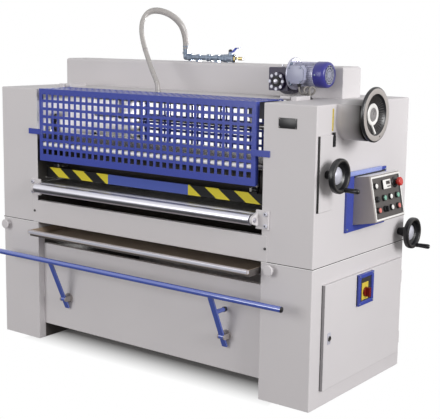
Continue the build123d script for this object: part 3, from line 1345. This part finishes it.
FRONT_HINGE_OUT = FRONT_HINGE_Y - FRONT
REAR_HINGE_OUT = BACK - REAR_HINGE_Y
LEFT_BRACKET_L = 158.0
RIGHT_BRACKET_L = 98.0
REAR_BRACKET_L = 70.0
LEFT_PIN_X0 = -GUARD_X0 - KNUCKLE_LAP
RIGHT_PIN_X0 = GUARD_X1 - KNUCKLE_LAP
left_bracket = left_of(hinge_bracket(FRONT_HINGE_Y, FRONT_HINGE_Y + LEFT_BRACKET_L, LEFT_PIN_X0))
right_bracket = hinge_bracket(FRONT_HINGE_Y, FRONT_HINGE_Y + RIGHT_BRACKET_L, RIGHT_PIN_X0)
left_rear_bracket = left_of(hinge_bracket(REAR_HINGE_Y, REAR_HINGE_Y + REAR_BRACKET_L, LEFT_PIN_X0))
right_rear_bracket = hinge_bracket(REAR_HINGE_Y, REAR_HINGE_Y + REAR_BRACKET_L, RIGHT_PIN_X0)
save("front_guard", guard_front(), guard_top(FRONT_HINGE_OUT))
save("rear_guard", behind(guard_front()), behind(guard_top(REAR_HINGE_OUT)))
save("guard_hinges", left_bracket, right_bracket, right_rear_bracket, left_rear_bracket)

# Kick bar: a tube on two arms, hinged on brackets on the front lower panel
PANEL_FACE = FRONT + PANEL_RECESS
KICK_Y = FRONT - KICK_OUT
KICK_PIVOT_Y = PANEL_FACE - KICK_PIVOT_OUT
KICK_BOSS_R = 12.0
KICK_PIN_R = 6.0
EAR_T = 6.0
EAR_R = 13.0
FOOT_R = 25.0
FOOT_T = 8.0
STOP_R = 11.0
KICK_TUBE_WALL = 2.5
KICK_X0 = KICK_SHIFT - KICK_HALF
KICK_X1 = KICK_SHIFT + KICK_HALF
LEFT_ARM_X = KICK_SHIFT - KICK_ARM_X
RIGHT_ARM_X = KICK_SHIFT + KICK_ARM_X


def kick_tube():
    tube = rod_x(KICK_TUBE_D / 2, KICK_X0, KICK_X1, KICK_Y, KICK_Z)
    bore = KICK_TUBE_D / 2 - KICK_TUBE_WALL
    return tube - rod_x(bore, KICK_X0 - OVERRUN, KICK_X1 + OVERRUN, KICK_Y, KICK_Z)


def kick_arm(x):
    reach = math.hypot(KICK_Y - KICK_PIVOT_Y, KICK_Z - KICK_PIVOT_Z)
    tilt = math.degrees(math.atan2(KICK_PIVOT_Y - KICK_Y, KICK_Z - KICK_PIVOT_Z))
    length = reach + KICK_TAIL
    flat = Pos(0, 0, (reach - KICK_TAIL) / 2) * Box(KICK_ARM_W, KICK_ARM_T, length)
    arm = Pos(x, KICK_PIVOT_Y, KICK_PIVOT_Z) * Rot(tilt, 0, 0) * flat
    half = KICK_ARM_W / 2
    arm += rod_x(KICK_BOSS_R, x - half, x + half, KICK_PIVOT_Y, KICK_PIVOT_Z)
    arm -= rod_x(KICK_PIN_R + RUN_FIT, x - half - OVERRUN, x + half + OVERRUN, KICK_PIVOT_Y, KICK_PIVOT_Z)
    return arm - rod_x(KICK_TUBE_D / 2, x - KICK_ARM_W, x + KICK_ARM_W, KICK_Y, KICK_Z)


def kick_stop():
    """The rubber-tipped stop on the right arm."""
    share = (KICK_STOP_Z - KICK_PIVOT_Z) / (KICK_Z - KICK_PIVOT_Z)
    arm_y = KICK_PIVOT_Y + share * (KICK_Y - KICK_PIVOT_Y)
    return rod_y(STOP_R, arm_y, PANEL_FACE - KICK_STOP_GAP, RIGHT_ARM_X, KICK_STOP_Z)


def kick_bracket(x):
    foot = rod_y(FOOT_R, PANEL_FACE - FOOT_T, PANEL_FACE, x, KICK_PIVOT_Z)
    inner = KICK_ARM_W / 2 + SLIDE_FIT
    for x0 in (x - inner - EAR_T, x + inner):
        height = (KICK_PIVOT_Z - EAR_R, KICK_PIVOT_Z + EAR_R)
        ear = block(x0, x0 + EAR_T, KICK_PIVOT_Y, PANEL_FACE - OVERRUN, *height)
        foot += ear + rod_x(EAR_R, x0, x0 + EAR_T, KICK_PIVOT_Y, KICK_PIVOT_Z)
    return foot + rod_x(KICK_PIN_R, x - inner - EAR_T, x + inner + EAR_T, KICK_PIVOT_Y, KICK_PIVOT_Z)


right_arm = kick_arm(RIGHT_ARM_X) + kick_stop()
save("kick_bar", kick_tube(), right_arm, kick_arm(LEFT_ARM_X))
save("kick_bar_brackets", kick_bracket(RIGHT_ARM_X), kick_bracket(LEFT_ARM_X))

# Drip tray: a shallow pan on the pedestal ledges, drawn out by its front lip
TRAY_LIP_H = 18.0
TRAY_LIP_T = 16.0


def drip_tray():
    half = INNER - TRAY_SIDE_ROOM
    y0 = FRONT - TRAY_OUT
    y1 = BACK - PANEL_RECESS
    pan = block(-half, half, y0, y1, TRAY_Z, TRAY_Z + TRAY_H)
    pan -= block(
        TRAY_WALL - half,
        half - TRAY_WALL,
        y0 + TRAY_WALL,
        y1 - TRAY_WALL,
        TRAY_Z + TRAY_WALL,
        TRAY_Z + TRAY_H + OVERRUN,
    )
    lip_z = TRAY_Z + TRAY_H - TRAY_LIP_H
    return pan + block(-half, half, y0 - TRAY_LIP_T, y0, lip_z, TRAY_Z + TRAY_H)


save("drip_tray", drip_tray())

# Console: a leaning box on the right column, inside a blue frame
LEAN = math.radians(CONSOLE_LEAN)
CONSOLE_X1 = HALF_W + CONSOLE_TOP_REACH
CONSOLE_Y1 = CONSOLE_Y0 + CONSOLE_W
CONSOLE_FOOT_X = CONSOLE_X1 + CONSOLE_FACE_H * math.sin(LEAN)
CONSOLE_FOOT_Z = CONSOLE_TOP_Z - CONSOLE_FACE_H * math.cos(LEAN)
CONSOLE_NORMAL = (math.cos(LEAN), 0, math.sin(LEAN))
CONSOLE_FACE = Plane(
    origin=(CONSOLE_X1, CONSOLE_Y0, CONSOLE_TOP_Z), x_dir=(0, 1, 0), z_dir=CONSOLE_NORMAL
).location
FRAME_T = 10.0
FRAME_Y0 = CONSOLE_Y0 - 63.0
FRAME_Y1 = CONSOLE_Y1 + 20.0
FRAME_Z0 = CONSOLE_BASE_Z0 - 27.0
FRAME_Z1 = CONSOLE_BASE_Z1 + 25.0
FRAME_BAND = 25.0
CAP_GAP = 5.0
CAP_H = 10.0
STEM_IN = 12.0
ESTOP_GAP = 20.0
ESTOP_H = 18.0


def on_face(column, row, low, high, radius):
    """A cylinder square to the console face, between two heights over it."""
    return CONSOLE_FACE * Pos(column, row, (low + high) / 2) * Cylinder(radius, high - low)


def column_at(index):
    return BUTTON_FIRST + index * BUTTON_PITCH


BUTTONS = {
    "black_button": (column_at(0), BUTTON_ROWS[1]),
    "upper_green_button": (column_at(1), BUTTON_ROWS[1]),
    "lower_green_button": (column_at(3), BUTTON_ROWS[1]),
    "left_red_button": (column_at(0), BUTTON_ROWS[2]),
    "right_red_button": (column_at(3), BUTTON_ROWS[2]),
}
SELECTOR_AT = (column_at(1), BUTTON_ROWS[2])
ESTOP_AT = (column_at(3), BUTTON_ROWS[0])


def console_outline(wall):
    """The side view of the box, drawn in by the wall."""
    return [
        (HALF_W, CONSOLE_BASE_Z0 + wall),
        (CONSOLE_FOOT_X - 1.3 * wall, CONSOLE_FOOT_Z + 0.8 * wall),
        (CONSOLE_X1 - wall, CONSOLE_TOP_Z - 1.2 * wall),
        (HALF_W, CONSOLE_BASE_Z1 - wall),
    ]


def console_box():
    box = prism_y(console_outline(0), CONSOLE_Y0, CONSOLE_Y1)
    box = fillet(box.edges() - box.faces().sort_by(Axis.X)[0].edges(), BEND_R)
    box -= prism_y(console_outline(SHEET), CONSOLE_Y0 + SHEET, CONSOLE_Y1 - SHEET)
    for column, row in BUTTONS.values():
        box -= on_face(column, row, -3 * SHEET, SHEET, BUTTON_STEM_R + SLIDE_FIT)
    box -= on_face(*SELECTOR_AT, -3 * SHEET, SHEET, BUTTON_STEM_R + RUN_FIT)
    return box - on_face(*ESTOP_AT, -3 * SHEET, SHEET, ESTOP_STEM_R + SLIDE_FIT)


def console_frame():
    x1 = HALF_W + FRAME_T
    ring = block(HALF_W, x1, FRAME_Y0, FRAME_Y1, FRAME_Z0, FRAME_Z1)
    return ring - block(
        HALF_W - OVERRUN,
        x1 + OVERRUN,
        CONSOLE_Y0 - SLIDE_FIT,
        CONSOLE_Y1 + SLIDE_FIT,
        CONSOLE_BASE_Z0 - SLIDE_FIT,
        CONSOLE_BASE_Z1 + SHEET,
    )


def push_button(column, row):
    cap = on_face(column, row, CAP_GAP, CAP_GAP + CAP_H, BUTTON_CAP_R)
    cap = fillet(cap.edges().filter_by(GeomType.CIRCLE), 1.5)
    return cap + on_face(column, row, -STEM_IN, CAP_GAP + OVERRUN, BUTTON_STEM_R)


def selector_switch():
    column, row = SELECTOR_AT
    knob = on_face(column, row, CAP_GAP, CAP_GAP + 5.0, BUTTON_CAP_R + 2.0)
    bar = Box(10.0, 2 * BUTTON_CAP_R + 4.0, 14.0)
    knob += CONSOLE_FACE * Pos(column, row, CAP_GAP + 11.0) * bar
    return knob + on_face(column, row, -STEM_IN, CAP_GAP + OVERRUN, BUTTON_STEM_R)


def emergency_stop():
    cap = on_face(*ESTOP_AT, ESTOP_GAP, ESTOP_GAP + ESTOP_H, ESTOP_CAP_R)
    cap = fillet(cap.edges().filter_by(GeomType.CIRCLE), 6.0)
    return cap + on_face(*ESTOP_AT, -STEM_IN, ESTOP_GAP + OVERRUN, ESTOP_STEM_R)


save("console_frame", console_frame())
save("console_box", console_box())
save("selector_switch", selector_switch())
save("emergency_stop", emergency_stop())
for button_name, button_place in BUTTONS.items():
    save(button_name, push_button(*button_place))

# Cabinet door with the main switch and its lock
DOOR_WALL = 2.0
SWITCH_W = 140.0
SWITCH_H = 146.0
SWITCH_T = 8.0
SWITCH_RISE = 15.0
SWITCH_KNOB_R = 22.0
SWITCH_KNOB_T = 26.0
SWITCH_DISC_T = 8.0
SWITCH_BAR_HALF = 7.0
SWITCH_BAR_REACH = 21.0
SWITCH_STEM_R = 7.0
LOCK_R = 12.0
LOCK_STEM_R = 8.0
DOOR_X0 = HALF_W + SLIDE_FIT
DOOR_X1 = HALF_W + DOOR_T
SWITCH_X1 = DOOR_X1 + SWITCH_T


def cabinet_door():
    door = block(DOOR_X0, DOOR_X1, DOOR_Y0, DOOR_Y1, DOOR_Z0, DOOR_Z1)
    door = fillet(door.edges().filter_by(Axis.X), SHEET)
    door = fillet(door.faces().sort_by(Axis.X)[-1].edges(), EDGE_R)
    door -= block(
        DOOR_X0 - OVERRUN,
        DOOR_X1 - DOOR_WALL,
        DOOR_Y0 + DOOR_WALL,
        DOOR_Y1 - DOOR_WALL,
        DOOR_Z0 + DOOR_WALL,
        DOOR_Z1 - DOOR_WALL,
    )
    for z in DOOR_KNUCKLES_Z:
        top = z + DOOR_KNUCKLE_L
        door += rod_z(DOOR_KNUCKLE_R, z, top, DOOR_AXIS_X, DOOR_HINGE_Y)
        door += block(DOOR_AXIS_X - 2.0, DOOR_AXIS_X + 2.0, DOOR_Y1 - DOOR_WALL, DOOR_HINGE_Y, z, top)
        door -= rod_z(DOOR_PIN_D / 2 + RUN_FIT, z - OVERRUN, top + OVERRUN, DOOR_AXIS_X, DOOR_HINGE_Y)
    door -= rod_x(SWITCH_STEM_R + RUN_FIT, DOOR_X0, DOOR_X1 + OVERRUN, SWITCH_Y, SWITCH_Z)
    return door - rod_x(LOCK_STEM_R + RUN_FIT, DOOR_X0, DOOR_X1 + OVERRUN, LOCK_Y, LOCK_Z)


def switch_plate():
    y0 = SWITCH_Y - SWITCH_W / 2
    z0 = SWITCH_Z + SWITCH_RISE - SWITCH_H / 2
    plate = block(DOOR_X1, SWITCH_X1, y0, y0 + SWITCH_W, z0, z0 + SWITCH_H)
    plate = fillet(plate.edges().filter_by(Axis.X), BEND_R)
    plate = fillet(plate.faces().sort_by(Axis.X)[-1].edges(), EDGE_R)
    return plate - rod_x(SWITCH_STEM_R + RUN_FIT, DOOR_X1 - OVERRUN, SWITCH_X1 + OVERRUN, SWITCH_Y, SWITCH_Z)


def main_switch_knob():
    base = SWITCH_X1 + SLIDE_FIT
    knob = rod_x(SWITCH_KNOB_R, base, base + SWITCH_DISC_T, SWITCH_Y, SWITCH_Z)
    width = (SWITCH_Y - SWITCH_BAR_HALF, SWITCH_Y + SWITCH_BAR_HALF)
    height = (SWITCH_Z - SWITCH_BAR_REACH, SWITCH_Z + SWITCH_BAR_REACH)
    knob += block(base, base + SWITCH_KNOB_T, *width, *height)
    return knob + rod_x(SWITCH_STEM_R, DOOR_X1 - 8.0, base + OVERRUN, SWITCH_Y, SWITCH_Z)


def door_lock():
    base = DOOR_X1 + SLIDE_FIT
    lock = rod_x(LOCK_R, base, base + 5.0, LOCK_Y, LOCK_Z)
    lock -= block(base + 2.0, base + 6.0, LOCK_Y - 2.0, LOCK_Y + 2.0, LOCK_Z - 8.0, LOCK_Z + 8.0)
    return lock + rod_x(LOCK_STEM_R, DOOR_X1 - 8.0, base + OVERRUN, LOCK_Y, LOCK_Z)


save("cabinet_door", cabinet_door(), switch_plate())
save("main_switch_knob", main_switch_knob())
save("door_lock", door_lock())

# Switchgear on a mounting plate inside the right pedestal
GEAR_PLATE_X0 = INNER + SHEET
GEAR_PLATE_X1 = GEAR_PLATE_X0 + 5.0
GEAR_PLATE_Y = 300.0
GEAR_PLATE_Z0 = 120.0
GEAR_PLATE_Z1 = 560.0
CONTACTOR_W = 45.0
CONTACTOR_STEP = 52.0
CONTACTORS = 5


def switchgear():
    x1 = GEAR_PLATE_X1
    plate = block(GEAR_PLATE_X0, x1, -GEAR_PLATE_Y, GEAR_PLATE_Y, GEAR_PLATE_Z0, GEAR_PLATE_Z1)
    first = -GEAR_PLATE_Y + 30.0
    gear = [plate]
    for index in range(CONTACTORS):
        y0 = first + index * CONTACTOR_STEP
        gear.append(block(x1, x1 + 85.0, y0, y0 + CONTACTOR_W, 440.0, 520.0))
        gear.append(block(x1, x1 + 80.0, y0, y0 + CONTACTOR_W, 365.0, 425.0))
    gear.append(block(x1, x1 + 110.0, 40.0, 170.0, 330.0, 525.0))
    gear.append(block(x1, x1 + 90.0, 190.0, 280.0, 400.0, 525.0))
    gear.append(block(x1, x1 + 50.0, first, 270.0, 150.0, 200.0))
    gear.append(block(x1, x1 + 95.0, first, first + 130.0, 220.0, 330.0))
    return gear


save("switchgear", *switchgear())

# Screws that show, the lead's gland on the column, and the mains gland at the rear
SCREW_HEAD_R = 6.0
SCREW_HEAD_T = 4.0
BOLT_HEAD_R = 9.0
BOLT_HEAD_T = 7.0
APRON_SCREW_X = INNER + 21.0
APRON_SCREW_Z = PEDESTAL_H + 59.0
BOLT_RISE = 26.0
BOLT_X = INNER + 25.0


def front_screws():
    heads = []
    apron_face = FRONT - SHEET
    plate_face = FRONT - BRACKET_PLATE_T
    for x in (APRON_SCREW_X, -APRON_SCREW_X):
        heads.append(rod_y(SCREW_HEAD_R, apron_face - SCREW_HEAD_T, apron_face, x, APRON_SCREW_Z))
    for x in (BOLT_X, -BOLT_X):
        for z in (IDLE_Z - BOLT_RISE, IDLE_Z + BOLT_RISE):
            heads.append(rod_y(BOLT_HEAD_R, plate_face - BOLT_HEAD_T, plate_face, x, z))
    return heads


def mains_gland():
    nut = rod_y(GLAND_HOLE_R + 6.0, BACK, BACK + 8.0, ANCHOR_X, GLAND_Z)
    nut += rod_y(GLAND_HOLE_R - RUN_FIT, BACK - SHEET, BACK + 24.0, ANCHOR_X, GLAND_Z)
    return nut - rod_y(GLAND_HOLE_R - 4.0, BACK - SHEET - OVERRUN, BACK + 25.0, ANCHOR_X, GLAND_Z)


screws = front_screws()
rear_screws = [behind(head) for head in screws]
save("fasteners_and_glands", *screws, *rear_screws, lead_gland(), mains_gland())
